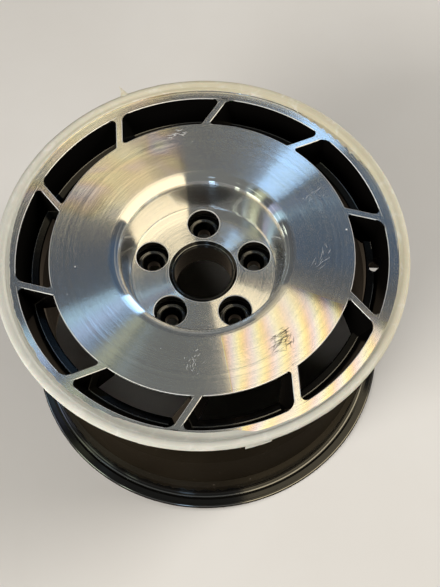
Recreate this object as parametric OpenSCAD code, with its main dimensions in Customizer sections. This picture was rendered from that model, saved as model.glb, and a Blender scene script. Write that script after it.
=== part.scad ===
// Forged racing wheel rim, 16 x 9.5 inch, with ten swept blades between the dished disc and the outer ring.
// Z is the wheel's axis. The origin is the middle of the hub mounting face, and +Z points to the street side.

/* [Rim] */
// Radius of both rim flanges at their rounded edge
flange_r = 220.3; // [219.5:0.1:222]
// Radius of the rounded edge of a rim flange
flange_edge_r = 4; // [3.5:0.1:4.5]
// Radius of the bead seats, beside the bead faces
bead_r = 202.8; // [202:0.1:203.5]
// Distance between the two bead faces
rim_w = 241.3; // [228.6:12.7:254]
// Height of the street-side bead face above the hub mounting face
bead_z = 82.1; // [81.8:0.1:83]
// Inner radius of the drop well
well_r = 179; // [178:0.5:180]
// Thickness of the barrel wall
wall_t = 5.5; // [5:0.1:6]

/* [Face] */
// Height of the turned face above the hub mounting face
face_z = 85.5; // [84.5:0.1:85.8]
// Radius of the disc, which is the inner edge of the windows
disc_r = 164; // [162:0.5:165]
// Thickness of the disc's free edge
disc_edge_t = 3.2; // [2.5:0.1:4]
// Outer radius of the windows at the turned face
window_r = 199.5; // [199:0.1:200]
// Outer radius of the windows at the ledge
window_foot_r = 187.5; // [187:0.5:188.5]
// Height of the ledge at the bottom of the windows
ledge_z = 57; // [56:0.5:58]
// Number of blades
blade_count = 10; // [8:1:10]
// Width of a blade at the turned face
blade_w = 7; // [6:0.5:8]
// Distance from the wheel's axis to the middle line of a blade
blade_axis_offset = 85.7; // [84:0.1:87]
// Turn of the first blade about the wheel's axis
blade_turn = -14.35; // [-20:0.05:0]
// Spread of a blade's leading flank between the face and the ledge
lead_spread = 12; // [8:0.5:12]
// Spread of a blade's trailing flank between the face and the ledge
trail_spread = 3.5; // [2:0.5:5]

/* [Bowl] */
// Radius where the turned face starts to roll into the bowl
bowl_r = 101.5; // [100:0.5:103]
// Radius of the bowl's rolled shoulder
shoulder_r = 14; // [12:0.5:15]
// Radius of the pad at the bottom of the bowl
pad_r = 82; // [81:0.5:83]
// Height of the pad above the hub mounting face
pad_z = 36.7; // [35:0.1:38]

/* [Hub] */
// Radius of the forging's centre bore
bore_r = 35.15; // [35:0.05:35.5]
// Radius of the hole in the spigot ring, which fits the car's hub
spigot_r = 32.05; // [31.5:0.05:32.5]
// Pitch circle diameter of the wheel bolts
lug_pcd = 120.65; // [120:0.05:121]
// Radius of a bolt pocket in the pad
lug_pocket_r = 18.2; // [17.5:0.1:18.4]
// Radius of the hole in a bolt seat
lug_hole_r = 7.25; // [6.5:0.05:7.5]

/* [Valve] */
// Radius of the valve hole
valve_r = 5.75; // [5.65:0.05:6]
// Distance from the wheel's axis to the valve hole
valve_axis_r = 187.5; // [187:0.5:188]
// Angle of the valve hole around the wheel
valve_turn = -1.5; // [-3:0.5:3]

/* [Barrel joint] */
// Height of the joint between the forging and the barrel
joint_z = 36; // [35:0.5:37]
// Number of barrel bolts
bolt_count = 20; // [10:10:20]
// Radius of the circle that the barrel bolts stand on
bolt_circle_r = 192.5; // [192:0.5:193]

/* [Tape] */
// Thickness of the masking tape on the street-side lip
tape_t = 0.4; // [0.3:0.1:0.6]
// Inner radius of the tape on the turned face
tape_in_r = 206.5; // [206:0.5:208]

/* [Hidden] */
$fn = 96;

// Rim flanges and bead seats
lip_r = flange_r - flange_edge_r;
lip_z = bead_z + 6.9;
back_bead_z = bead_z - rim_w;
back_lip_z = back_bead_z - 5.8;
bead_fillet_r = 6.5;
bead_face_r = bead_r + bead_fillet_r + 2.2;
lip_fillet_r = 3;
hump_z = bead_z - 21;
back_hump_z = back_bead_z + 27;
seat_r = bead_r - 0.95;
hump_r = seat_r + 1.4;

// Drop well and joint flanges
well_out_r = well_r + wall_t;
joint_r = 200;
joint_t = 5;
web_z = ledge_z - 6;
ledge_inner_z = ledge_z - 1.5;
seal_r = well_r + 2.9;
seal_section_r = 1.1;
groove_w = 3;

// Barrel bolts, M6
bolt_r = 3;
bolt_clear_r = 3.2;
hex_r = 5.77;
washer_t = 1;
washer_r = 6.2;
head_h = 4;
nut_h = 5;
bolt_end = 2;
bolt_step = 360 / bolt_count;

// Blades, seen along their own length with X across and Y up
blade_step = 360 / blade_count;
edge_break = 0.7;
blade_half = blade_w / 2;
lead_y = blade_axis_offset - blade_half;
trail_y = blade_axis_offset + blade_half;
window_depth = face_z - ledge_z;
web_grow = (face_z - web_z) / window_depth;
blade_reach = 205;
inner_small_r = 2;
inner_large_r = 3;
outer_small_r = 5;
outer_large_r = 12;
corner_bite = 0.3;
seam_r = disc_r - 3.5;

// Bowl wall, tangent to the rolled shoulder
shoulder_z = face_z - shoulder_r;
foot_dr = bowl_r - pad_r;
foot_dz = shoulder_z - pad_z;
foot_dist = sqrt(foot_dr * foot_dr + foot_dz * foot_dz);
wall_tilt = atan(foot_dr / foot_dz) - asin(shoulder_r / foot_dist);
pad_fillet_r = 2.5;
pad_fillet_x = pad_r + pad_fillet_r * (tan(wall_tilt) - 1 / cos(wall_tilt));

// Back of the disc and the hub
hub_face_r = 76;
hub_foot_h = 12;
hub_seam_r = pad_r - 0.8;
bowl_wall_t = 8.5;
disc_t = 12;
disc_back_z = face_z - disc_t;
bore_chamfer = 2.85;

// Wheel bolt pockets and seats
lug_count = 5;
lug_circle_r = lug_pcd / 2;
lug_step = 360 / lug_count;
lug_floor_z = 16;
pocket_break = 0.6;
seat_body_r = 13;
seat_flange_r = 15.5;
seat_top_z = lug_floor_z + 2.5;
seat_cone_r = 12;
seat_cone_h = (seat_cone_r - lug_hole_r) / tan(30);
relief_r = 10;
relief_h = 20;

// Valve
spot_r = 7.6;
spot_z = ledge_inner_z - 0.5;
valve_seat_r = 7;
valve_seat_h = 8;
valve_seat_rise = 0.5;
notch_w = 21;
notch_gap = 0.5;
gap = 1;

// Fills the corner between two edges, leaving a round of radius rad about the point c
module round_fill(c, a, corner, b, rad) {
    difference() {
        polygon([c, a, corner, b]);
        translate(c) circle(rad);
    }
}

// Rounds of a rim flange and its bead seat, on the side where up = 1 is the street side
module flange_rounds(bead, lip, up) {
    fillet_c = [bead_r + bead_fillet_r, bead - up * bead_fillet_r];
    translate([lip_r, lip]) circle(flange_edge_r);
    round_fill(
        fillet_c, [bead_r, fillet_c.y], [bead_r - gap, bead + up * gap], [fillet_c.x, bead], bead_fillet_r
    );
}

// Outline of a bead seat and its flange, from the hump out to the middle of the rounded edge
function flange_points(bead, lip, up) = [
    [bead_r, bead - up * bead_fillet_r], [bead_r, bead], [bead_face_r, bead],
    [lip_r, lip - up * flange_edge_r], [lip_r, lip]
];

// Section of the outer ring, from the joint flange to the street-side lip
module ring_section() {
    lip_in_r = lip_r - flange_edge_r;
    fillet_c = [lip_in_r - lip_fillet_r, face_z + lip_fillet_r];
    round_fill(
        fillet_c, [fillet_c.x, face_z], [lip_in_r + gap, face_z - gap], [lip_in_r, fillet_c.y], lip_fillet_r
    );
    polygon(concat(
        [
            [well_r, joint_z], [joint_r, joint_z], [joint_r, joint_z + joint_t],
            [well_out_r, joint_z + joint_t], [well_out_r, web_z - 2], [well_out_r + 2, web_z],
            [joint_r - 2, web_z], [seat_r - 0.6, web_z + 3], [hump_r, hump_z - 1.2], [hump_r, hump_z + 1.2],
            [seat_r, hump_z + 4.5]
        ],
        flange_points(bead_z, lip_z, 1),
        [
            [lip_in_r, lip_z], [lip_in_r, face_z], [window_r + edge_break, face_z],
            [window_r, face_z - edge_break], [window_foot_r, ledge_z],
            [well_r + 1.2, ledge_inner_z + 0.3], [well_r, ledge_inner_z - 0.9]
        ]
    ));
}

// Section of the hub, the bowl and the disc, out to the seam
module hub_section() {
    shoulder = [bowl_r, shoulder_z];
    tangent = shoulder + shoulder_r * [-cos(wall_tilt), sin(wall_tilt)];
    fillet_c = [pad_fillet_x, pad_z + pad_fillet_r];
    fillet_wall = fillet_c + pad_fillet_r * [cos(wall_tilt), -sin(wall_tilt)];
    translate(shoulder) circle(shoulder_r);
    round_fill(fillet_c, [fillet_c.x, pad_z], [pad_r + gap, pad_z - gap], fillet_wall, pad_fillet_r);
    polygon([
        [bore_r, 0], [hub_face_r, 0], [hub_face_r, hub_foot_h], [pad_r + bowl_wall_t, pad_z - 3],
        [pad_r + bowl_wall_t + 6, disc_back_z - 9], [bowl_r + 6, disc_back_z], [disc_r - 14, disc_back_z + 2],
        [seam_r, face_z - disc_edge_t], [seam_r, face_z], [bowl_r, face_z], shoulder, tangent, [pad_r, pad_z],
        [bore_r + bore_chamfer, pad_z], [bore_r, pad_z - bore_chamfer]
    ]);
}

// Band of the wheel that the blades may fill, from under the disc to the ring
module blade_band() {
    rotate_extrude()
        polygon([
            [disc_r - 18, disc_back_z + 3], [well_r - 1, web_z + 2], [window_foot_r - 1, web_z + 2],
            [window_foot_r + 8, ledge_z + 12], [window_r + 2, face_z], [disc_r - 4, face_z]
        ]);
}

// One blade as a long bar, with its flanks spreading towards the ledge
module blade_bar() {
    rotate([90, 0, 90])
        linear_extrude(blade_reach)
            polygon([
                [lead_y, face_z - edge_break], [lead_y + edge_break, face_z], [trail_y - edge_break, face_z],
                [trail_y, face_z - edge_break], [trail_y + trail_spread * web_grow, web_z],
                [lead_y - lead_spread * web_grow, web_z]
            ]);
}

// Rounded corner of a window: side is -1 on a leading flank and 1 on a trailing one,
// and turn is 1 at the ring and -1 at the disc
module window_corner(flank_y, side, edge_r, rad, turn) {
    centre_dist = edge_r - turn * rad;
    cy = flank_y + side * rad;
    cx = sqrt(centre_dist * centre_dist - cy * cy);
    on_edge = [cx, cy] * edge_r / centre_dist;
    corner_x = sqrt(edge_r * edge_r - flank_y * flank_y);
    translate([0, 0, ledge_z])
        linear_extrude(window_depth)
            round_fill(
                [cx, cy], [cx, flank_y], [corner_x + turn * gap, flank_y - side * gap], on_edge, rad
            );
}

// Thin outer edge of the disc, which carries the blades
module rim_section() {
    polygon([
        [seam_r, face_z - disc_edge_t], [disc_r, face_z - disc_edge_t], [disc_r, face_z - edge_break],
        [disc_r - edge_break, face_z], [seam_r, face_z]
    ]);
}

// All blades, with the rounded corners of the windows between them
module blade_set() {
    for (i = [0 : blade_count - 1])
        rotate([0, 0, blade_turn + i * blade_step]) {
            intersection() {
                blade_bar();
                blade_band();
            }
            window_corner(lead_y, -1, window_r, outer_large_r, 1);
            window_corner(trail_y, 1, window_r, outer_small_r, 1);
            window_corner(lead_y, -1, disc_r - corner_bite, inner_large_r, -1);
            window_corner(trail_y, 1, disc_r - corner_bite, inner_small_r, -1);
        }
}

module face_blades() {
    color("lightsteelblue")
        difference() {
            union() {
                rotate_extrude() rim_section();
                blade_set();
            }
            rotate_extrude() hub_section();
        }
}

// Puts its children at each wheel bolt, turned on by part of a step
module at_lugs(part) {
    for (i = [0 : lug_count - 1])
        rotate([0, 0, 90 + (i + part) * lug_step]) translate([lug_circle_r, 0, 0]) children();
}

// Puts its children at each barrel bolt
module at_bolts() {
    for (i = [0 : bolt_count - 1])
        rotate([0, 0, (i + 0.5) * bolt_step]) translate([bolt_circle_r, 0, 0]) children();
}

// Cuts the joint flange away below the valve
module valve_notch(z, h) {
    rotate([0, 0, valve_turn])
        translate([well_out_r + notch_gap, -notch_w / 2, z])
            cube([joint_r - well_out_r + gap, notch_w, h]);
}

module lug_cuts() {
    at_lugs(0) {
        translate([0, 0, lug_floor_z]) cylinder(r = lug_pocket_r, h = pad_z);
        translate([0, 0, pad_z - pocket_break])
            cylinder(r1 = lug_pocket_r, r2 = lug_pocket_r + 2 * pocket_break, h = 2 * pocket_break);
        translate([0, 0, -gap]) cylinder(r = seat_body_r, h = lug_floor_z + 2 * gap);
    }
    at_lugs(0.5)
        translate([0, 0, -gap]) cylinder(r = relief_r, h = relief_h + gap);
}

module valve_cuts() {
    rotate([0, 0, valve_turn])
        translate([valve_axis_r, 0, 0]) {
            translate([0, 0, web_z - gap]) cylinder(r = valve_r, h = window_depth);
            translate([0, 0, web_z - valve_seat_h])
                cylinder(r = valve_seat_r, h = valve_seat_h + valve_seat_rise);
            translate([0, 0, spot_z]) cylinder(r = spot_r, h = window_depth);
        }
    valve_notch(joint_z - gap, joint_t + 2 * gap);
}

// Middle of the wheel as far out as the foot of the bowl's wall
module hub_core() {
    translate([0, 0, -gap]) cylinder(r = hub_seam_r, h = face_z);
}

module face_hub() {
    color("gainsboro")
        difference() {
            intersection() {
                rotate_extrude() hub_section();
                hub_core();
            }
            lug_cuts();
        }
}

module face_disc() {
    color("silver")
        difference() {
            rotate_extrude() hub_section();
            hub_core();
        }
}

module face_ring() {
    color("gainsboro")
        difference() {
            union() {
                rotate_extrude() ring_section();
                rotate_extrude() flange_rounds(bead_z, lip_z, 1);
            }
            blade_set();
            valve_cuts();
            at_bolts()
                translate([0, 0, joint_z - gap]) cylinder(r = bolt_clear_r, h = joint_t + 2 * gap);
        }
}

module barrel_section() {
    slope_z = -20;
    slope_end_z = -57;
    mid_r = 193.8;
    polygon(concat(
        [
            [well_r, joint_z], [joint_r, joint_z], [joint_r, joint_z - joint_t],
            [well_out_r, joint_z - joint_t], [well_out_r, slope_z], [mid_r, slope_end_z],
            [mid_r + 4, back_hump_z + 6], [hump_r, back_hump_z + 1.2], [hump_r, back_hump_z - 1.2],
            [seat_r, back_hump_z - 4.5]
        ],
        flange_points(back_bead_z, back_lip_z, -1),
        [
            [lip_r, back_lip_z - flange_edge_r], [lip_r - 5, back_lip_z - flange_edge_r + 0.6],
            [bead_r + 1, back_bead_z - 4], [bead_r - wall_t, back_bead_z + 6],
            [bead_r - wall_t - 1, back_hump_z - 6], [mid_r + 4 - wall_t, back_hump_z + 4],
            [mid_r - wall_t, slope_end_z - 2], [well_r, slope_z - 2]
        ]
    ));
}

module rim_barrel() {
    color("dimgray")
        difference() {
            union() {
                rotate_extrude() barrel_section();
                rotate_extrude() flange_rounds(back_bead_z, back_lip_z, -1);
            }
            rotate_extrude()
                translate([seal_r - groove_w / 2, joint_z - 2 * seal_section_r])
                    square([groove_w, 2 * seal_section_r + gap]);
            at_bolts()
                translate([0, 0, joint_z - joint_t - gap]) cylinder(r = bolt_clear_r, h = joint_t + 2 * gap);
            valve_notch(joint_z - joint_t - gap, joint_t + 2 * gap);
        }
}

module barrel_seal_ring() {
    color("black")
        rotate_extrude() translate([seal_r, joint_z - seal_section_r]) circle(seal_section_r);
}

module barrel_bolts() {
    shank_z = joint_z - joint_t - washer_t;
    color("slategray")
        at_bolts() {
            translate([0, 0, shank_z - head_h]) cylinder(r = hex_r, h = head_h, $fn = 6);
            translate([0, 0, shank_z - gap])
                cylinder(r = bolt_r, h = gap + washer_t + 2 * joint_t + nut_h + bolt_end);
        }
}

module barrel_washers() {
    color("gainsboro")
        at_bolts()
            translate([0, 0, joint_z - joint_t - washer_t])
                difference() {
                    cylinder(r = washer_r, h = washer_t);
                    translate([0, 0, -gap]) cylinder(r = bolt_clear_r, h = washer_t + 2 * gap);
                }
}

module barrel_nuts() {
    color("slategray")
        at_bolts()
            translate([0, 0, joint_z + joint_t])
                difference() {
                    cylinder(r = hex_r, h = nut_h, $fn = 6);
                    translate([0, 0, -gap]) cylinder(r = bolt_r, h = nut_h + 2 * gap);
                }
}

module hub_spigot_ring() {
    top = pad_z - bore_chamfer;
    color("black")
        rotate_extrude()
            polygon([
                [spigot_r, 0], [bore_r, 0], [bore_r, top], [spigot_r + 1, top], [spigot_r, top - 1]
            ]);
}

// Bolt seat number i, a flanged steel bush with a 60 degree conical seat
module lug_seat(i) {
    color("dimgray")
        rotate([0, 0, 90 + (i - 1) * lug_step])
            translate([lug_circle_r, 0, 0])
                rotate_extrude()
                    polygon([
                        [lug_hole_r, 0], [seat_body_r, 0], [seat_body_r, lug_floor_z],
                        [seat_flange_r, lug_floor_z], [seat_flange_r, seat_top_z - 0.6],
                        [seat_flange_r - 0.6, seat_top_z], [seat_cone_r, seat_top_z],
                        [lug_hole_r, seat_top_z - seat_cone_h]
                    ]);
}

// Section of the tape's flat part and of the turn-up at the foot of the lip
module tape_foot_section() {
    lip_in_r = lip_r - flange_edge_r;
    fillet_c = [lip_in_r - lip_fillet_r, face_z + lip_fillet_r];
    difference() {
        polygon([
            [tape_in_r, face_z - gap], [tape_in_r, face_z + tape_t], [fillet_c.x, face_z + tape_t], fillet_c,
            [lip_in_r - tape_t, fillet_c.y], [lip_in_r - tape_t, lip_z], [lip_r, lip_z], [lip_r, face_z - gap]
        ]);
        translate(fillet_c) circle(lip_fillet_r - tape_t);
    }
}

module lip_tape() {
    color("cornsilk")
        difference() {
            union() {
                rotate_extrude() tape_foot_section();
                rotate_extrude() translate([lip_r, lip_z]) circle(flange_edge_r + tape_t);
            }
            rotate_extrude() ring_section();
            rotate_extrude() flange_rounds(bead_z, lip_z, 1);
            rotate_extrude()
                translate([tape_in_r - gap, bead_z - 5])
                    square([lip_r + 2.5 - tape_in_r, face_z - bead_z + 5]);
        }
}

// Loose end of the tape, which hangs below the lip
module tape_patch() {
    patch_r = flange_r + tape_t;
    color("wheat")
        rotate([0, 0, -79])
            rotate_extrude(angle = 7)
                translate([patch_r, lip_z - 9]) square([tape_t, 9]);
}

face_hub();
face_disc();
face_blades();
face_ring();
rim_barrel();
barrel_seal_ring();
barrel_bolts();
barrel_washers();
barrel_nuts();
hub_spigot_ring();
lug_seat(1);  // lug_seat_1
lug_seat(2);  // lug_seat_2
lug_seat(3);  // lug_seat_3
lug_seat(4);  // lug_seat_4
lug_seat(5);  // lug_seat_5
lip_tape();
tape_patch();
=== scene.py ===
import math
import random

import bpy
from mathutils import Matrix, Vector, noise


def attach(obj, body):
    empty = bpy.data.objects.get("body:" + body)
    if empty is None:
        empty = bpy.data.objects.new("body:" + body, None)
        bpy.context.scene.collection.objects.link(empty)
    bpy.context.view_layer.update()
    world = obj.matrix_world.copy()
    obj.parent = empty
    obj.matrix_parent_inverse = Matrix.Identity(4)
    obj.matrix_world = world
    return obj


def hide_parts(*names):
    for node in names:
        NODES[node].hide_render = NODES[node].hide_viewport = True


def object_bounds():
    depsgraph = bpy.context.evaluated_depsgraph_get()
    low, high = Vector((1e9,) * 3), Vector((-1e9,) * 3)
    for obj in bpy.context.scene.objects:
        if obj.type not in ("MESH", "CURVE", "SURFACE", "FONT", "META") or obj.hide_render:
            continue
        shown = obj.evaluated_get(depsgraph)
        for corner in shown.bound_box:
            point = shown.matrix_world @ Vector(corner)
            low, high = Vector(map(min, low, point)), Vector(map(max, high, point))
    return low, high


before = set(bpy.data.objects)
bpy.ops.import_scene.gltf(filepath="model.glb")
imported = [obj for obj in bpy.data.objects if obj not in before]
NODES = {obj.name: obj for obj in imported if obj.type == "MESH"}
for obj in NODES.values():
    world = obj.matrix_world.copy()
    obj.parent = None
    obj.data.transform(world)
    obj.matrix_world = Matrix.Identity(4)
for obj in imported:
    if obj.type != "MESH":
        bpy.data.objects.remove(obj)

CAD_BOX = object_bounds()
scene = bpy.context.scene
MM = 0.001

# Sizes that the CAD has too, in mm
FACE_Z = 85.5
LIP_FOOT_R = 209.3
LIP_FILLET = 3.0
LIP_R = 216.3
LIP_Z = 89.0
LIP_EDGE = 4.0
BACK_LIP_Z = -165.0
BEAD_FILLET_C = (209.3, -152.7)
WINDOW_FOOT_R = 187.5
LEDGE_Z = 57.0
LEDGE_INNER_R = 180.0
LEDGE_INNER_Z = 55.5
BORE_R = 35.15
BORE_BEVEL = 2.85
PAD_Z = 36.7
LUG_COUNT = 5
LUG_CIRCLE_R = 60.325
POCKET_R = 18.2
POCKET_FLOOR_Z = 16.0
SEAT_FLANGE_R = 15.5
SEAT_TOP_Z = 18.5
SEAT_CONE_R = 12.0


# ---------------------------------------------------------------- node helpers
class Tree:
    """Short calls for the nodes that the materials and the sky are made of."""

    def __init__(self, node_tree):
        self.nodes = node_tree.nodes
        self.links = node_tree.links

    def put(self, socket, value):
        """Link an input to an output, or set its number or colour."""
        if isinstance(value, bpy.types.NodeSocket):
            self.links.new(value, socket)
        elif socket.type == "RGBA":
            socket.default_value = (*value, 1)
        else:
            socket.default_value = value

    def fill(self, node, **values):
        """Set a node's inputs by name, with _ for a space."""
        for key, value in values.items():
            self.put(node.inputs[key.replace("_", " ")], value)
        return node

    def add(self, kind, **values):
        return self.fill(self.nodes.new("ShaderNode" + kind), **values)

    def place(self):
        """Position in the object's own space, in metres."""
        return self.add("TexCoord").outputs["Object"]

    def normal(self):
        return self.add("NewGeometry").outputs["Normal"]

    def xyz(self, vector):
        return self.add("SeparateXYZ", Vector=vector).outputs[:]

    def join(self, x, y, z):
        return self.add("CombineXYZ", X=x, Y=y, Z=z).outputs[0]

    def math(self, op, a, b=0.0):
        n = self.add("Math")
        n.operation = op
        self.put(n.inputs[0], a)
        self.put(n.inputs[1], b)
        return n.outputs[0]

    def vector(self, op, a, b=None):
        n = self.add("VectorMath")
        n.operation = op
        self.put(n.inputs[0], a)
        if b is not None:
            self.put(n.inputs["Scale"] if op == "SCALE" else n.inputs[1], b)
        return n.outputs["Vector"]

    def mix(self, factor, a, b, kind="RGBA"):
        n = self.add("Mix")
        n.data_type = kind
        first, out = {"FLOAT": (2, 0), "RGBA": (6, 2)}[kind]
        self.put(n.inputs[0], factor)
        self.put(n.inputs[first], a)
        self.put(n.inputs[first + 1], b)
        return n.outputs[out]

    def ramp(self, value, low, high, to_low=0.0, to_high=1.0):
        """Goes smoothly from to_low at low to to_high at high."""
        n = self.add("MapRange", Value=value, From_Min=low, From_Max=high, To_Min=to_low,
                     To_Max=to_high)
        n.interpolation_type = "SMOOTHSTEP"
        return n.outputs["Result"]

    def band(self, value, low, high, soft):
        """One between low and high, nought outside, with edges as wide as soft."""
        rise = self.ramp(value, low - soft / 2, low + soft / 2)
        fall = self.ramp(value, high - soft / 2, high + soft / 2, 1.0, 0.0)
        return self.math("MULTIPLY", rise, fall)

    def noise(self, vector, scale, detail=2.0, rough=0.5, distortion=0.0):
        return self.add("TexNoise", Vector=vector, Scale=scale, Detail=detail, Roughness=rough,
                        Distortion=distortion).outputs["Fac"]

    def noise1(self, value, scale, detail=1.0, rough=0.5):
        """Noise along one number."""
        n = self.add("TexNoise")
        n.noise_dimensions = "1D"
        return self.fill(n, W=value, Scale=scale, Detail=detail, Roughness=rough).outputs["Fac"]

    def radius(self, x, y):
        squares = self.math("ADD", self.math("MULTIPLY", x, x), self.math("MULTIPLY", y, y))
        return self.math("SQRT", squares)

    def bearing(self, x, y):
        """Angle of (x, y), in degrees."""
        return self.math("MULTIPLY", self.math("ARCTAN2", y, x), 180 / math.pi)

    def bump(self, height, distance, strength, normal=None):
        n = self.add("Bump", Strength=strength, Distance=distance, Height=height)
        if normal is not None:
            self.fill(n, Normal=normal)
        return n.outputs["Normal"]


class Surface(Tree):
    """A new material whose one shader is Principled."""

    def __init__(self, name):
        self.material = bpy.data.materials.new(name)
        self.material.use_nodes = True
        super().__init__(self.material.node_tree)
        self.nodes.clear()
        out = self.add("OutputMaterial")
        self.shader = self.add("BsdfPrincipled")
        self.fill(out, Surface=self.shader.outputs[0])

    def done(self, **values):
        """Set the shader's inputs and hand over the material."""
        self.fill(self.shader, **values)
        return self.material


# ---------------------------------------------------------------- camera
CAMERA_PLACE = (0.0282, -0.4703, 0.9711)
CAMERA_RIGHT = (0.99995, 0, -0.00994)
CAMERA_UP = (0.00425, 0.90389, 0.42775)
CAMERA_AHEAD = (-0.00899, 0.42777, -0.90384)
LENS = 57.39
SENSOR_WIDTH = 36


def add_camera():
    camera = bpy.data.cameras.new("camera")
    camera.lens = LENS
    camera.sensor_width = SENSOR_WIDTH
    camera.clip_start = 0.01
    obj = bpy.data.objects.new("camera", camera)
    scene.collection.objects.link(obj)
    basis = Matrix((CAMERA_RIGHT, CAMERA_UP, [-c for c in CAMERA_AHEAD])).transposed()
    obj.matrix_world = Matrix.Translation(CAMERA_PLACE) @ basis.to_4x4()
    scene.camera = obj


add_camera()

# ---------------------------------------------------------------- materials
# Noise scales in the materials are per metre.
# Slopes of the lathe's grooves on the face and on the bowl's wall, and of the wider waves
FACE_GROOVE = 1.1
WALL_GROOVE = 1.25
WAVE = 0.04
# The face's painted iridescence, colours of a reflection put in its base colour: first and last
# angle and softness, in degrees, of its two places where it mirrors the bright panels, and the
# centre and pitch of the stripes, in metres
IRIDESCENCE_STRIPED = (-80.0, -22.0, 4.0)
IRIDESCENCE_BLOTCHED = (100.0, 162.0, 6.0)
STRIPE_CENTRE = (-0.075, -0.125)
STRIPE_PITCH = 0.021
# Phase, swing and middle of the painted iridescence's red, green and blue
PAINTED_IRIDESCENCE = ((0.0, 0.12, 0.92), (1.1, 0.22, 0.76), (2.6, 0.48, 0.60))


def turned_metal():
    """Turned aluminium. Grooves around the wheel's axis spread the reflections along the radius.
    Its base colour has a faint painted iridescence: colours of a reflection off the fine grooves,
    put only in the two places where the face mirrors the bright panels."""
    t = Surface("turned_alloy")
    p = t.place()
    x, y, z = t.xyz(p)
    r = t.radius(x, y)
    normal = t.normal()

    across = t.math("SUBTRACT", r, z)
    lies_flat = t.ramp(t.xyz(normal)[2], 0.88, 0.99)
    around = t.vector("NORMALIZE", t.join(t.math("MULTIPLY", y, -1.0), x, 0.0))
    side = t.vector("CROSS_PRODUCT", around, normal)
    fine = t.math("SUBTRACT", t.noise1(across, 5200.0, 2.0, 0.6), 0.5)
    wide = t.math("SUBTRACT", t.noise1(across, 260.0, 2.0, 0.6), 0.5)
    groove = t.math("MULTIPLY", fine, t.ramp(lies_flat, 0.0, 1.0, WALL_GROOVE, FACE_GROOVE))
    slope = t.math("ADD", groove, t.math("MULTIPLY", wide, WAVE))
    grooved = t.vector("NORMALIZE", t.vector("ADD", normal, t.vector("SCALE", side, slope)))

    cloud = t.noise(p, 9.0, 3.0)
    ridges = t.ramp(t.noise1(across, 420.0, 3.0, 0.7), 0.3, 0.7)
    tone = t.mix(ridges, (0.83, 0.82, 0.80), (0.90, 0.89, 0.875))
    tone = t.mix(t.ramp(cloud, 0.3, 0.7), tone, (0.88, 0.875, 0.87))

    # Painted iridescence: faint colours of a reflection, put in the base colour only where the face
    # mirrors the bright panels
    turn = t.bearing(x, y)
    iridescent_striped = t.band(turn, *IRIDESCENCE_STRIPED)
    iridescent_blotched = t.band(turn, *IRIDESCENCE_BLOTCHED)
    on_face = t.ramp(r, 0.096, 0.106)
    from_centre = t.radius(*[t.math("ADD", c, -m) for c, m in zip((x, y), STRIPE_CENTRE)])
    drift = t.math("MULTIPLY", t.noise(p, 11.0, 1.5), 6.5)
    stripes = t.math("ADD", t.math("MULTIPLY", from_centre, 2 * math.pi / STRIPE_PITCH), drift)
    blotches = t.math("MULTIPLY", t.noise(p, 13.0, 1.5, 0.5, 0.8), 17.0)
    phase = t.mix(iridescent_striped, blotches, stripes, "FLOAT")

    def channel(shift, swing, middle):
        wave = t.math("SINE", t.math("ADD", phase, shift))
        return t.math("ADD", t.math("MULTIPLY", wave, swing), middle)

    painted_iridescence = t.join(*[channel(*numbers) for numbers in PAINTED_IRIDESCENCE])
    patchy = t.ramp(t.noise(p, 13.0, 1.0), 0.35, 0.65, 0.35, 1.0)
    share = t.math("ADD", t.math("MULTIPLY", iridescent_striped, 0.42), t.math("MULTIPLY", iridescent_blotched, 0.26))
    share = t.math("MULTIPLY", t.math("MULTIPLY", share, on_face), patchy)
    tone = t.mix(t.math("ADD", share, 0.015), tone, painted_iridescence)

    tangent = t.add("Tangent")
    tangent.direction_type = "RADIAL"
    tangent.axis = "Z"
    rough = t.ramp(cloud, 0.3, 0.7, 0.10, 0.125)
    return t.done(Base_Color=tone, Metallic=1.0, Roughness=rough, Anisotropic=1.0,
                  Anisotropic_Rotation=0.25, Normal=grooved, Tangent=tangent.outputs[0])


def broken_edge(name, metal):
    """Small bevels, filed bright and uneven."""
    t = Surface(name)
    p = t.place()
    dull = t.noise(p, 70.0, 3.0)
    colour = t.mix(t.ramp(dull, 0.35, 0.7), (0.97, 0.96, 0.94), (0.84, 0.83, 0.81))
    file_marks = t.bump(t.noise(p, 900.0, 3.0, 0.6), 0.0002, 0.5)
    return t.done(Base_Color=colour, Metallic=metal, Normal=file_marks,
                  Roughness=t.ramp(dull, 0.3, 0.7, 0.30, 0.45))


def gloss_black(name, specular, top_browning, index=1.5):
    """Gloss black coat with a faint orange peel, made browner and rougher in patches on what faces
    up.
    """
    t = Surface(name)
    p = t.place()
    faces_up = t.ramp(t.xyz(t.normal())[2], 0.75, 1.0)
    # Browner and rougher in patches on what faces up
    brown_on_top = t.math("MULTIPLY", faces_up, t.ramp(t.noise(p, 45.0, 4.0, 0.6), 0.4, 0.8, 0.0, top_browning))
    colour = t.mix(brown_on_top, (0.0030, 0.0027, 0.0024), (0.030, 0.020, 0.012))
    orange_peel = t.bump(t.noise(p, 700.0, 2.0), 0.0001, 0.15)
    return t.done(Base_Color=colour, Metallic=0.0, Roughness=t.ramp(brown_on_top, 0.0, 1.0, 0.11, 0.3),
                  Specular_IOR_Level=specular, IOR=index, Normal=orange_peel)


def barrel_coat():
    """Satin black with a bronze tint, which is a painted reflection of a brown floor, and specks of
    grit.
    """
    t = Surface("barrel_coat")
    p = t.place()
    cloud = t.noise(p, 14.0, 4.0, 0.6)
    speck = t.ramp(t.noise(p, 260.0, 1.0, 0.3), 0.76, 0.79)
    # The bronze tint of this black coat is a painted reflection of a brown floor
    colour = t.mix(t.ramp(cloud, 0.3, 0.75), (0.009, 0.0064, 0.0034), (0.015, 0.0112, 0.0066))
    colour = t.mix(t.math("MULTIPLY", speck, 0.25), colour, (0.3, 0.25, 0.2))
    grain = t.bump(t.noise(p, 1500.0, 2.0), 0.0002, 0.25)
    return t.done(Base_Color=colour, Metallic=0.0, Roughness=t.ramp(cloud, 0.3, 0.7, 0.36, 0.46),
                  Specular_IOR_Level=0.14, Normal=grain)


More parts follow.
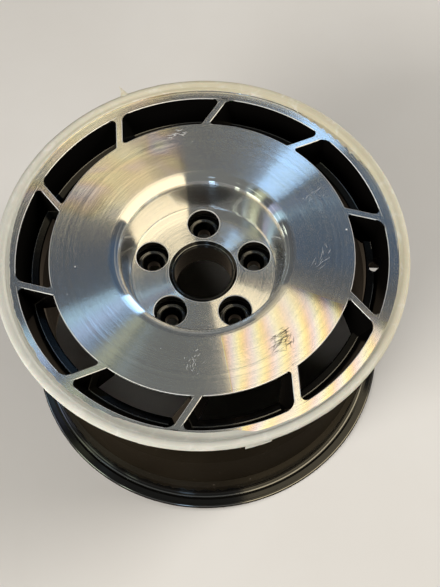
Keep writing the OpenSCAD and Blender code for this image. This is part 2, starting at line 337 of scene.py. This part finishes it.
def plain(name, colour, rough, metal, grain=600.0):
    """A worn material with cloudy colour and roughness and a fine grain."""
    t = Surface(name)
    p = t.place()
    cloud = t.noise(p, 40.0, 4.0, 0.6)
    shaded = t.mix(t.ramp(cloud, 0.3, 0.7), colour, [c * 0.7 for c in colour])
    uneven = t.ramp(cloud, 0.3, 0.7, rough * 0.85, rough * 1.15)
    return t.done(Base_Color=shaded, Metallic=metal, Roughness=uneven,
                  Normal=t.bump(t.noise(p, grain, 3.0), 0.0001, 0.3))


def masking_tape():
    """Creped paper tape: fine folds across its width, a faint sheen and a little light through
    it. Towards the wheel's near left its colour is painted whiter, a painted lighter side where
    more light falls."""
    t = Surface("masking_tape")
    p = t.place()
    x, y, z = t.xyz(p)
    r = t.radius(x, y)
    turn = t.math("MULTIPLY", t.math("ARCTAN2", y, x), 0.22)
    along = t.join(turn, t.math("MULTIPLY", r, 0.25), t.math("MULTIPLY", z, 0.25))
    crepe = t.noise(along, 1500.0, 3.0, 0.6)
    crease = t.noise(p, 55.0, 4.0, 0.65, 0.8)
    stain = t.noise(p, 11.0, 3.0)
    streak = t.noise1(t.math("ADD", r, t.math("MULTIPLY", stain, 0.002)), 900.0, 2.0)
    # Painted light: the tape is whiter towards the wheel's near left, the side that is lit more
    painted_light_near_left = t.ramp(t.math("SUBTRACT", t.math("MULTIPLY", y, -1.0), x), -0.2, 0.18)
    colour = t.mix(t.ramp(stain, 0.3, 0.7), (0.64, 0.58, 0.42), (0.70, 0.65, 0.50))
    colour = t.mix(painted_light_near_left, colour, (0.68, 0.67, 0.60))
    colour = t.mix(t.ramp(streak, 0.5, 0.75, 0.0, 0.5), colour, (0.82, 0.80, 0.72))
    colour = t.mix(t.ramp(crease, 0.5, 0.75, 0.0, 0.7), colour, (0.84, 0.82, 0.76))
    folds = t.bump(crease, 0.0012, 0.4, t.bump(crepe, 0.0003, 0.45))
    return t.done(Base_Color=colour, Roughness=t.ramp(crease, 0.3, 0.7, 0.40, 0.6),
                  Subsurface_Weight=0.08, Subsurface_Scale=0.001, Normal=folds)


TURNED = turned_metal()
EDGE = broken_edge("broken_edge", 0.45)
RIM = broken_edge("pocket_rim", 0.25)
GLOSS = gloss_black("black_coat", 0.22, 0.35)
LINE = gloss_black("coat_rounding", 1.0, 0.0, 2.2)
SPIGOT = gloss_black("spigot_black", 0.3, 0.15)
SEAT = gloss_black("seat_steel", 0.3, 0.1)
SATIN = barrel_coat()
FLANGE = gloss_black("flange_gloss", 0.5, 0.0)
TAPE = masking_tape()
SCUFF = plain("scuff_dark", (0.035, 0.03, 0.025), 0.5, 0.3)
PALE_SCUFF = plain("scuff_pale", (0.85, 0.85, 0.84), 0.6, 0.0)
BOLT = plain("bolt_steel", (0.42, 0.42, 0.43), 0.3, 1.0)
WASHER = plain("washer_steel", (0.55, 0.54, 0.52), 0.38, 1.0, 900.0)
RUBBER = plain("seal_rubber", (0.015, 0.015, 0.015), 0.65, 0.0, 1200.0)

# ---------------------------------------------------------------- finishes of the CAD's faces
# Where the finishes change, in metres. Turned: all above FACE_LOW, the dish inside DISH_R above
# DISH_LOW, and the bowl above BOWL_LOW inside a cone. Bevels: their normals' height, and the
# radii and heights that the windows' and the pockets' lie between
FACE_LOW = 0.0848
DISH_LOW, DISH_R = 0.0745, 0.118
BOWL_LOW, BOWL_R, BOWL_FLARE = 0.0366, 0.0785, 0.153
BEVEL_LEAN = (0.25, 0.95)
WINDOWS = (0.15, 0.2004)
POCKETS = (0.0385, 0.0815)
POCKET_BEVEL = (0.0358, 0.0368)
FLANGE_TOP = -0.1475


def forging_finish(c, n):
    """The finish of a face of the forging that has its middle at c and the normal n."""
    r = math.hypot(c.x, c.y)
    if BEVEL_LEAN[0] < n.z < BEVEL_LEAN[1]:
        if c.z > FACE_LOW and WINDOWS[0] < r < WINDOWS[1]:
            return EDGE
        if POCKET_BEVEL[0] < c.z < POCKET_BEVEL[1] and POCKETS[0] < r < POCKETS[1]:
            return RIM
    in_dish = c.z > DISH_LOW and r < DISH_R
    in_bowl = c.z > BOWL_LOW and r < BOWL_R + BOWL_FLARE * c.z
    return TURNED if c.z > FACE_LOW or in_dish or in_bowl else GLOSS


def barrel_finish(c, _):
    """The finish of a face of the barrel, whose inboard flange is glossier."""
    return FLANGE if c.z < FLANGE_TOP else SATIN


def finished(node, name, materials, finish):
    """A copy of a node with one of the materials on each of its faces."""
    mesh = NODES[node].data.copy()
    obj = bpy.data.objects.new(name, mesh)
    scene.collection.objects.link(obj)
    mesh.materials.clear()
    for material in materials:
        mesh.materials.append(material)
    for polygon in mesh.polygons:
        polygon.material_index = materials.index(finish(polygon.center, polygon.normal))
    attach(obj, "root")
    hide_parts(node)


for name in NODES:
    if name.startswith("face_"):
        finished(name, "turned_" + name, (GLOSS, TURNED, EDGE, RIM), forging_finish)
finished("rim_barrel", "coated_barrel", (SATIN, FLANGE), barrel_finish)

# Nodes that show as the CAD made them
KEPT = {"hub_spigot_ring": SPIGOT, "barrel_seal_ring": RUBBER, "barrel_bolts": BOLT,
        "barrel_nuts": BOLT, "barrel_washers": WASHER}
KEPT.update({name: SEAT for name in NODES if name.startswith("lug_seat")})
for name, material in KEPT.items():
    for material_slot in NODES[name].material_slots:
        material_slot.material = material


# ---------------------------------------------------------------- mesh helpers
def piece(name, verts, faces, material, smooth=True):
    mesh = bpy.data.meshes.new(name)
    mesh.from_pydata(verts, [], faces)
    mesh.materials.append(material)
    for polygon in mesh.polygons:
        polygon.use_smooth = smooth
    mesh.update()
    obj = bpy.data.objects.new(name, mesh)
    scene.collection.objects.link(obj)
    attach(obj, "root")
    return obj


def sheet_faces(rows, cols, closed):
    """Quads of two grids of points, the second after the first, and of the edges that join them.
    A closed grid's last row joins its first."""
    faces = []
    under = rows * cols
    last = rows if closed else rows - 1
    for i in range(last):
        j = (i + 1) % rows
        for k in range(cols - 1):
            a, b, c, d = i * cols + k, i * cols + k + 1, j * cols + k + 1, j * cols + k
            faces.append((a, b, c, d))
            faces.append((under + d, under + c, under + b, under + a))
        for k in (0, cols - 1):
            a, b = i * cols + k, j * cols + k
            quad = (a, b, under + b, under + a)
            faces.append(quad if k == 0 else quad[::-1])
    if not closed:
        for i in (0, rows - 1):
            for k in range(cols - 1):
                a, b = i * cols + k, i * cols + k + 1
                quad = (a, under + a, under + b, b)
                faces.append(quad if i == 0 else quad[::-1])
    return faces


def sheet(name, first, second, rows, cols, closed=False):
    """A thin closed piece of tape, from the grids of points on its two sides."""
    return piece(name, first + second, sheet_faces(rows, cols, closed), TAPE)


# ---------------------------------------------------------------- tape
PATH_START = 199.0
# How far the tape goes round the lip's edge, below its outermost line, in degrees
WRAP = 62

# In mm. The tape is lifted clear of the facets of the lip's CAD, which reach higher in the fillet
TAPE_LIFT = 0.42
FILLET_LIFT = 0.82
TAPE_THICKNESS = 0.3
# A second layer of tape, and how far it reaches beyond a strip's end, in degrees
LAYER_LIFT = 0.22
LAYER_REACH = 3.2
# The part of the width in which the inner edge curls up, and the curl's height
CURL_SHARE = 0.1
CURL = 0.4
# Angles, in degrees: where the tape is most crinkled, the torn tail, and the loose end's two sides
CRINKLED_AT = 185
TAIL_AT = 114.5
FLAP = (-78.5, -71.5)

# Where the tape's inner edge runs: angle in degrees, radius, waviness, depth of torn teeth in mm
EDGE_RUN = (
    (-8, 210.6, 0.2, 0.0), (28, 210.4, 0.3, 0.0), (35, 207.2, 0.4, 1.3), (54, 207.6, 0.4, 1.3),
    (58, 210.0, 0.3, 0.0), (140, 210.6, 0.2, 0.0), (158, 208.8, 0.5, 0.0), (182, 205.6, 0.9, 0.2),
    (232, 206.0, 1.0, 0.3), (253, 202.6, 0.4, 0.0), (262, 201.5, 0.2, 0.0), (280, 202.2, 0.3, 0.0),
    (285, 207.6, 0.4, 0.0), (305, 209.4, 0.4, 0.0), (318, 210.4, 0.2, 0.0), (352, 210.6, 0.2, 0.0),
)
# Angles in degrees where a strip of tape ends on top of the next one
STRIP_ENDS = (31, 57, 101, 141, 181, 224, 254, 282, 304, 353)


def lip_path(s):
    """Point and outward normal (radius, height, nr, nz) at the length s, in mm, along the way
    that the tape lies: over the face from PATH_START, up the fillet, over the lip's round and a
    little way under it."""
    flat = LIP_FOOT_R - PATH_START
    if s < flat:
        return PATH_START + s, FACE_Z, 0.0, 1.0
    s -= flat
    if s < LIP_FILLET * math.pi / 2:
        a = s / LIP_FILLET
        return (LIP_FOOT_R + LIP_FILLET * math.sin(a), FACE_Z + LIP_FILLET * (1 - math.cos(a)),
                -math.sin(a), math.cos(a))
    s -= LIP_FILLET * math.pi / 2
    wall = LIP_Z - FACE_Z - LIP_FILLET
    if s < wall:
        return LIP_R - LIP_EDGE, FACE_Z + LIP_FILLET + s, -1.0, 0.0
    a = math.pi - (s - wall) / LIP_EDGE
    return (LIP_R + LIP_EDGE * math.cos(a), LIP_Z + LIP_EDGE * math.sin(a), math.cos(a),
            math.sin(a))


def path_length(r):
    """Length along lip_path at which the radius r, on the face or in the fillet, is reached."""
    if r < LIP_FOOT_R:
        return r - PATH_START
    return (LIP_FOOT_R - PATH_START
            + LIP_FILLET * math.asin(min(1.0, (r - LIP_FOOT_R) / LIP_FILLET)))


FILLET_START = path_length(LIP_FOOT_R)
FILLET_END = path_length(LIP_FOOT_R + LIP_FILLET)
PATH_END = FILLET_END + LIP_Z - FACE_Z - LIP_FILLET + LIP_EDGE * math.radians(180 + WRAP)


def inner_edge(turn):
    """Inner radius of the tape, in mm, at an angle in degrees."""
    first = EDGE_RUN[0][0]
    turn = (turn - first) % 360 + first
    for (a0, *low), (a1, *high) in zip(EDGE_RUN, EDGE_RUN[1:]):
        if a0 <= turn <= a1:
            f = (turn - a0) / (a1 - a0)
            break
    r, wave, teeth = (p + (q - p) * f for p, q in zip(low, high))
    x, y = math.cos(math.radians(turn)) * 220, math.sin(math.radians(turn)) * 220
    r += wave * 1.6 * noise.noise(Vector((x * 0.06, y * 0.06, 1.3)))
    r += wave * 0.7 * noise.noise(Vector((x * 0.3, y * 0.3, 8.3)))
    saw = (turn * 0.3 + 0.35 * noise.noise(Vector((turn * 0.25, 3.1, 0)))) % 1
    tooth = saw / 0.75 if saw < 0.75 else (1 - saw) / 0.25
    return min(r + teeth * (tooth - 0.5) * 2, LIP_FOOT_R + LIP_FILLET * 0.9)


def tape_ring():
    """The tape round the lip. Its rows keep it under 200 000 triangles."""
    rows, face_cols, lip_cols = 1120, 15, 26
    cols = face_cols + lip_cols
    top, bottom = [], []
    for i in range(rows):
        turn = 2 * math.pi * i / rows
        degrees = 360.0 * i / rows
        c, s = math.cos(turn), math.sin(turn)
        start = path_length(inner_edge(degrees))
        past_end = min((degrees - e) % 360 for e in STRIP_ENDS)
        layer = LAYER_LIFT if past_end < LAYER_REACH else 0.0
        crinkle = 0.12 + 0.6 * max(0.0, math.cos(turn - math.radians(CRINKLED_AT))) ** 3
        for k in range(cols):
            if k < face_cols:
                along = start + (FILLET_END - start) * k / face_cols
            else:
                past_fillet = (PATH_END - FILLET_END) * (k - face_cols)
                along = FILLET_END + past_fillet / (lip_cols - 1)
            r, z, nr, nz = lip_path(along)
            share = k / (cols - 1)
            rise = noise.noise(Vector((r * c * 0.11, r * s * 0.11, z * 0.2)))
            folds = abs(noise.noise(Vector((turn * 60, share * 2.5, 1.7))))
            clear = FILLET_LIFT if along > FILLET_START - 1 else TAPE_LIFT
            lift = clear + layer + 0.08 * rise + crinkle * 0.4 * folds
            if share < CURL_SHARE:
                curl = max(0.0, 0.2 + noise.noise(Vector((turn * 9, 5.0, 0.0))))
                lift += CURL * (1 - share / CURL_SHARE) ** 2 * curl
            for points, height in ((top, lift), (bottom, lift - TAPE_THICKNESS)):
                rr, zz = r + nr * height, z + nz * height
                points.append((rr * c * MM, rr * s * MM, zz * MM))
    return sheet("masking_tape_ring", top, bottom, rows, cols, closed=True)


def outward(turn):
    return Vector((math.cos(turn), math.sin(turn), 0))


def tape_tail():
    """A torn tail of tape that stands off the lip's outer edge."""
    rows, cols = 16, 7
    out = outward(math.radians(TAIL_AT))
    side = Vector((-out.y, out.x, 0))
    up = Vector((0, 0, 1))
    top, bottom = [], []
    for i in range(rows):
        f = i / (rows - 1)
        width = 5.5 * (1 - f) ** 1.4 + 0.25
        reach = 217.0 + 13.0 * f
        rise = 93.2 + 5.0 * f - 1.5 * f * f
        lean = 1.8 * f * f
        for k in range(cols):
            g = k / (cols - 1) * 2 - 1
            curl = 1.3 * g * g * (1 - f)
            ragged = 0.35 * noise.noise(Vector((f * 6, g * 2, 4.0)))
            across = side * (g * width + lean + ragged)
            point = out * (reach + curl) + across + up * (rise - curl * 1.4)
            top.append(tuple(point * MM))
            bottom.append(tuple((point - up * 0.22 - out * 0.1) * MM))
    sheet("masking_tape_tail", bottom, top, rows, cols)


def tape_flap():
    """A loose end of tape that hangs from the lip's outer edge."""
    rows, cols = 30, 9
    top, bottom = [], []
    for i in range(rows):
        f = i / (rows - 1)
        out = outward(math.radians(FLAP[0] + (FLAP[1] - FLAP[0]) * f))
        depth = 6.0 - 3.5 * f + 0.5 * noise.noise(Vector((f * 5, 2.0, 0)))
        for k in range(cols):
            g = k / (cols - 1)
            r = 220.75 + 0.5 * g * g + 0.3 * noise.noise(Vector((f * 4, g * 2, 9)))
            point = out * r + Vector((0, 0, 87.5 - depth * g - 1.5))
            top.append(tuple(point * MM))
            bottom.append(tuple((point - out * 0.2) * MM))
    return sheet("masking_tape_flap", top, bottom, rows, cols)


ring = tape_ring()
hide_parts("lip_tape")
tape_tail()
flap = tape_flap()
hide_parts("tape_patch")


# ---------------------------------------------------------------- marks of use
def scratches(name, strokes, width, material):
    """Thin ridges that taper to both ends on the turned face, each between two points in mm."""
    steps = 5
    verts, faces = [], []
    for x0, y0, x1, y1 in strokes:
        along = Vector((x1 - x0, y1 - y0, 0))
        side = Vector((-along.y, along.x, 0)).normalized() * width / 2
        base = len(verts)
        for i in range(steps + 1):
            f = i / steps
            taper = math.sin(math.pi * (0.08 + 0.84 * f))
            mid = Vector((x0, y0, 0)) + along * f + side * 0.8 * math.sin(f * 5 + x0)
            for sign, height in ((-1, 0.005), (0, 0.05), (1, 0.005)):
                point = mid + side * sign * taper
                verts.append((point.x * MM, point.y * MM, (FACE_Z + height) * MM))
        for i in range(steps):
            for k in range(3):
                a, b = base + i * 3 + k, base + i * 3 + (k + 1) % 3
                faces.append((a, a + 3, b + 3, b))
        end = base + steps * 3
        faces += [(base, base + 1, base + 2), (end + 2, end + 1, end)]
    piece(name, verts, faces, material, smooth=False)


def cluster(turn_deg, radius, length, spread, count, seed, lean, reach):
    """Strokes scattered about one place on the face, mostly leaning the same way. Sizes are in
    mm and angles in degrees."""
    rng = random.Random(seed)
    turn = math.radians(turn_deg)
    cx, cy = radius * math.cos(turn), radius * math.sin(turn)
    axis = math.radians(lean)
    strokes = []
    for _ in range(count):
        a = math.radians(lean + rng.gauss(0, 28))
        along = rng.uniform(-length / 2, length / 2)
        across = rng.gauss(0, spread / 2)
        x = cx + along * math.cos(axis) - across * math.sin(axis)
        y = cy + along * math.sin(axis) + across * math.cos(axis)
        half = rng.uniform(0.25, 0.5) * reach
        dx, dy = half * math.cos(a), half * math.sin(a)
        strokes.append((x - dx, y - dy, x + dx, y + dy))
    return strokes


scratches("dark_scuff", cluster(-52, 131, 24, 10, 54, 3, 40, 11.5), 0.5, SCUFF)
scratches("pale_scuff", cluster(101, 153, 18, 4, 16, 5, 6, 7.0), 0.5, PALE_SCUFF)
scratches("right_scratches", cluster(-3, 130, 30, 9, 9, 9, 72, 12.0), 0.22, PALE_SCUFF)
scratches("lower_scratches", cluster(-92, 126, 30, 12, 22, 12, 60, 5.0), 0.22, PALE_SCUFF)
scratches("upper_scratches", cluster(30, 140, 26, 12, 10, 15, 40, 9.0), 0.2, PALE_SCUFF)

# Chips stuck to the face: angle in degrees, radius and size in mm
SPECKS = (
    (9, 158, 1.3), (188, 136, 0.9), (30, 128, 0.5), (-8, 122, 0.5), (95, 140, 0.5),
    (200, 150, 0.4), (-35, 146, 0.5), (250, 120, 0.5), (16, 147, 0.45),
)


def specks():
    """Small low cones with uneven feet."""
    sides = 9
    verts, faces = [], []
    for turn, r, size in SPECKS:
        base = len(verts)
        cx, cy = r * math.cos(math.radians(turn)), r * math.sin(math.radians(turn))
        verts.append((cx * MM, cy * MM, (FACE_Z + 0.15) * MM))
        for i in range(sides):
            a = 2 * math.pi * i / sides
            reach = size * (0.8 + 0.3 * noise.noise(Vector((turn, i * 1.7, r))))
            x, y = cx + reach * math.cos(a), cy + reach * math.sin(a)
            verts.append((x * MM, y * MM, (FACE_Z + 0.01) * MM))
            faces.append((base, base + 1 + i, base + 1 + (i + 1) % sides))
        faces.append(tuple(range(base + sides, base, -1)))
    piece("specks", verts, faces, PALE_SCUFF, smooth=False)


specks()


# ---------------------------------------------------------------- beads on small roundings
def bead(name, face, back, material, centre=(0.0, 0.0), steps=720, gap=None):
    """A closed bead swept round an axis through centre, in mm, except in the gap between two
    angles in degrees. Its section's points, (radius, height) in mm, are face, which is seen, and
    back, which lies in the metal."""
    section = [*face, *back]
    n = len(section)
    first, sweep = (gap[1], 360 - gap[1] + gap[0]) if gap else (0, 360)
    rows = steps + 1 if gap else steps
    verts, faces = [], []
    for i in range(rows):
        a = math.radians(first + sweep * i / steps)
        for r, z in section:
            x, y = centre[0] + r * math.cos(a), centre[1] + r * math.sin(a)
            verts.append((x * MM, y * MM, z * MM))
    for i in range(steps):
        low, high = i * n, (i + 1) % rows * n
        for k in range(n):
            j = (k + 1) % n
            faces.append((low + k, low + j, high + j, high + k))
    if gap:
        faces += [tuple(range(n - 1, -1, -1)), tuple(range(steps * n, rows * n))]
    obj = piece(name, verts, faces, material, smooth=False)
    for i in range(steps):
        for k in range(len(face) - 1):
            obj.data.polygons[i * n + k].use_smooth = True


def arc(cx, cz, rad, first, last, count=9):
    """Points on an arc about (cx, cz) in mm, between two angles in degrees."""
    turns = [math.radians(first + (last - first) * i / (count - 1)) for i in range(count)]
    return [(cx + rad * math.cos(a), cz + rad * math.sin(a)) for a in turns]


# The bright lines along the ledge under the windows, which stop at the valve's hole
LEDGE_SLOPE = (LEDGE_Z - LEDGE_INNER_Z) / (WINDOW_FOOT_R - LEDGE_INNER_R)
LINE_W = 1.1
LINE_DEPTH = 0.3
LINE_LIFT = 0.06
VALVE_GAP = (-8, 5)
for name, r in (("ledge_edge", LEDGE_INNER_R), ("ledge_fillet", WINDOW_FOOT_R - LINE_W)):
    z = LEDGE_INNER_Z + LEDGE_SLOPE * (r - LEDGE_INNER_R) + LINE_LIFT
    far_r, far_z = r + LINE_W, z + LEDGE_SLOPE * LINE_W
    bead(name, [(r, z), (far_r, far_z)], [(far_r, far_z - LINE_DEPTH), (r, z - LINE_DEPTH)], LINE,
         gap=VALVE_GAP)

bead("back_lip_rounding", arc(LIP_R, BACK_LIP_Z, LIP_EDGE + 0.08, 56, 40),
     [(LIP_R + 1.5, BACK_LIP_Z + 2.0)], LINE)
bead("back_bead_rounding", arc(*BEAD_FILLET_C, 6.1, 248, 262), [(208.2, -159.6), (206.5, -159.6)],
     LINE)


RIM_R = 1.0
RIM_SINK = 0.93


def rim(name, r, steps, centre=(0.0, 0.0)):
    """The bright rounding round a hole in the hub pad, a little proud of the pad."""
    middle = (r + RIM_R, PAD_Z - RIM_SINK)
    bead(name, arc(*middle, RIM_R, 165, 90), [middle], RIM, centre, steps)


rim("bore_rim", BORE_R + BORE_BEVEL, 240)
bead("bore_bevel_foot", arc(BORE_R - 1.0, PAD_Z - BORE_BEVEL + 0.95, 1.0, 270, 350),
     [(BORE_R + 0.2, PAD_Z - BORE_BEVEL - 0.3)], LINE, steps=240)

for lug in range(LUG_COUNT):
    turn = math.radians(90 + 360 // LUG_COUNT * lug)
    middle = (LUG_CIRCLE_R * math.cos(turn), LUG_CIRCLE_R * math.sin(turn))
    label = "_" + str(lug + 1)
    rim("pocket_rim" + label, POCKET_R, 144, middle)
    bead("pocket_fillet" + label, arc(POCKET_R - 2.0, POCKET_FLOOR_Z + 1.9, 2.05, -92, 4),
         [(POCKET_R + 0.3, POCKET_FLOOR_Z - 0.4)], LINE, centre=middle, steps=96)
    bead("seat_rounding" + label, arc(SEAT_FLANGE_R - 0.7, SEAT_TOP_Z - 0.7, 0.8, 85, 5),
         [(SEAT_FLANGE_R - 0.9, SEAT_TOP_Z - 0.9)], RIM, middle, 96)
    bead("seat_groove" + label, arc(SEAT_CONE_R + 1.5, SEAT_TOP_Z + 0.95, 1.0, 180, 360),
         [(SEAT_CONE_R + 2.6, SEAT_TOP_Z - 0.3), (SEAT_CONE_R + 0.4, SEAT_TOP_Z - 0.3)], LINE,
         middle, 96)

# ---------------------------------------------------------------- floor
FLOOR_HALF = 60.0


def pale_floor():
    t = Surface("pale_floor")
    cloud = t.ramp(t.noise(t.place(), 3.0, 4.0, 0.6), 0.3, 0.7)
    return t.done(Base_Color=t.mix(cloud, (0.80, 0.775, 0.74), (0.83, 0.81, 0.78)), Roughness=0.75)


def floor(z):
    """A floor that mirrors don't show."""
    corners = [(x * FLOOR_HALF, y * FLOOR_HALF, z) for x, y in ((-1, -1), (1, -1), (1, 1), (-1, 1))]
    mesh = bpy.data.meshes.new("floor")
    mesh.from_pydata(corners, [], [(0, 1, 2, 3)])
    obj = bpy.data.objects.new("floor", mesh)
    scene.collection.objects.link(obj)
    mesh.materials.append(pale_floor())
    obj.visible_glossy = False


floor(CAD_BOX[0][2])

# ---------------------------------------------------------------- light
FILL_SIZE = 1.8
FILL_COLOUR = (1.0, 0.97, 0.92)
# The direction, seen from above, that the wheel's face mirrors to the camera
MIRROR = (-0.028, 0.47)
GROUND = (0.11, 0.085, 0.06)
# Heights where the panels' colours change from high up to low down, and where the ground starts
LOW_DOWN = (0.52, 0.34)
HORIZON = (0.01, -0.03)
# Panels, each over the ones before: first and last angle about MIRROR in degrees, softness, and
# colour high up and low down
PANELS = (
    (-180, 180, 1, (0.095, 0.10, 0.105), (0.28, 0.29, 0.28)),
    (-10, 34, 12, (0.06, 0.095, 0.15), (0.24, 0.26, 0.29)),
    (120, 200, 20, (0.095, 0.10, 0.105), (0.16, 0.17, 0.16)),
    (124, 154, 3, (0.50, 0.45, 0.33), (0.24, 0.22, 0.18)),
    (238, 282, 3, (0.17, 0.175, 0.165), (0.27, 0.27, 0.26)),
    (-78, -25, 2, (1.42, 1.23, 0.85), (1.9, 1.6, 1.05)),
    (34, 50, 2, (0.70, 1.15, 1.75), (1.3, 2.1, 3.0)),
    (205, 212, 3, (0.42, 0.62, 0.74), (1.0, 1.3, 1.5)),
    (212, 218, 4, (0.34, 0.38, 0.52), (0.8, 0.85, 1.0)),
    (225, 232, 4, (0.50, 0.53, 0.36), (0.8, 0.8, 0.6)),
    (235, 239, 3, (0.28, 0.34, 0.36), (0.4, 0.45, 0.5)),
)
# Panes on the wheel's left and near side: first and last bearing in degrees, bottom and top
# height, and colour
PANES = (
    (164, 172, 0.02, 0.40, (1.9, 2.1, 1.8)),
    (-155, -139, 0.05, 0.45, (1.9, 2.1, 1.6)),
    (-131, -126, 0.05, 0.45, (1.7, 1.9, 1.5)),
    (-104, -98, 0.0, 0.60, (1.1, 1.5, 1.9)),
)
PANE_SOFT_TURN = 1.2
PANE_SOFT_HEIGHT = 0.02


def studio():
    """Soft panels around the wheel, painted on the sky by direction. Their edges run out from
    MIRROR. Dull surfaces don't get this light, so the floor stays dark under the wheel."""
    world = bpy.data.worlds.new("studio")
    scene.world = world
    world.use_nodes = True
    t = Tree(world.node_tree)
    x, y, z = t.xyz(t.add("TexCoord").outputs["Generated"])
    turn = t.bearing(t.math("SUBTRACT", x, MIRROR[0]), t.math("SUBTRACT", y, MIRROR[1]))
    low_down = t.ramp(z, *LOW_DOWN)
    colour = None
    for low, high, soft, high_colour, low_colour in PANELS:
        mid = (low + high) / 2
        positive = t.math("ADD", t.math("SUBTRACT", turn, mid), 900.0)
        off = t.math("SUBTRACT", t.math("MODULO", positive, 360.0), 180.0)
        shade = t.mix(low_down, high_colour, low_colour)
        if colour is None:
            colour = shade
        else:
            colour = t.mix(t.band(off, low - mid, high - mid, soft), colour, shade)
    bearing = t.bearing(x, y)
    for low, high, bottom, top, shade in PANES:
        inside = t.math("MULTIPLY", t.band(bearing, low, high, PANE_SOFT_TURN),
                        t.band(z, bottom, top, PANE_SOFT_HEIGHT))
        colour = t.mix(inside, colour, shade)
    colour = t.mix(t.ramp(z, *HORIZON), colour, GROUND)
    t.fill(t.nodes["Background"], Color=colour, Strength=1.0)
    world.cycles_visibility.diffuse = False


def fill_light(name, place, power):
    """A wide soft light for the floor, the tape and the other dull surfaces."""
    light = bpy.data.lights.new(name, "AREA")
    light.shape = "DISK"
    light.size = FILL_SIZE
    light.energy = power
    light.color = FILL_COLOUR
    obj = bpy.data.objects.new(name, light)
    obj.location = place
    obj.rotation_euler = Vector(place).to_track_quat("Z", "Y").to_euler()
    obj.visible_glossy = False
    scene.collection.objects.link(obj)


fill_light("fill_right", (2.3, 0.7, 1.35), 72)
fill_light("fill_near", (-1.9, -1.8, 1.35), 92)
studio()
scene.view_settings.view_transform = "Standard"
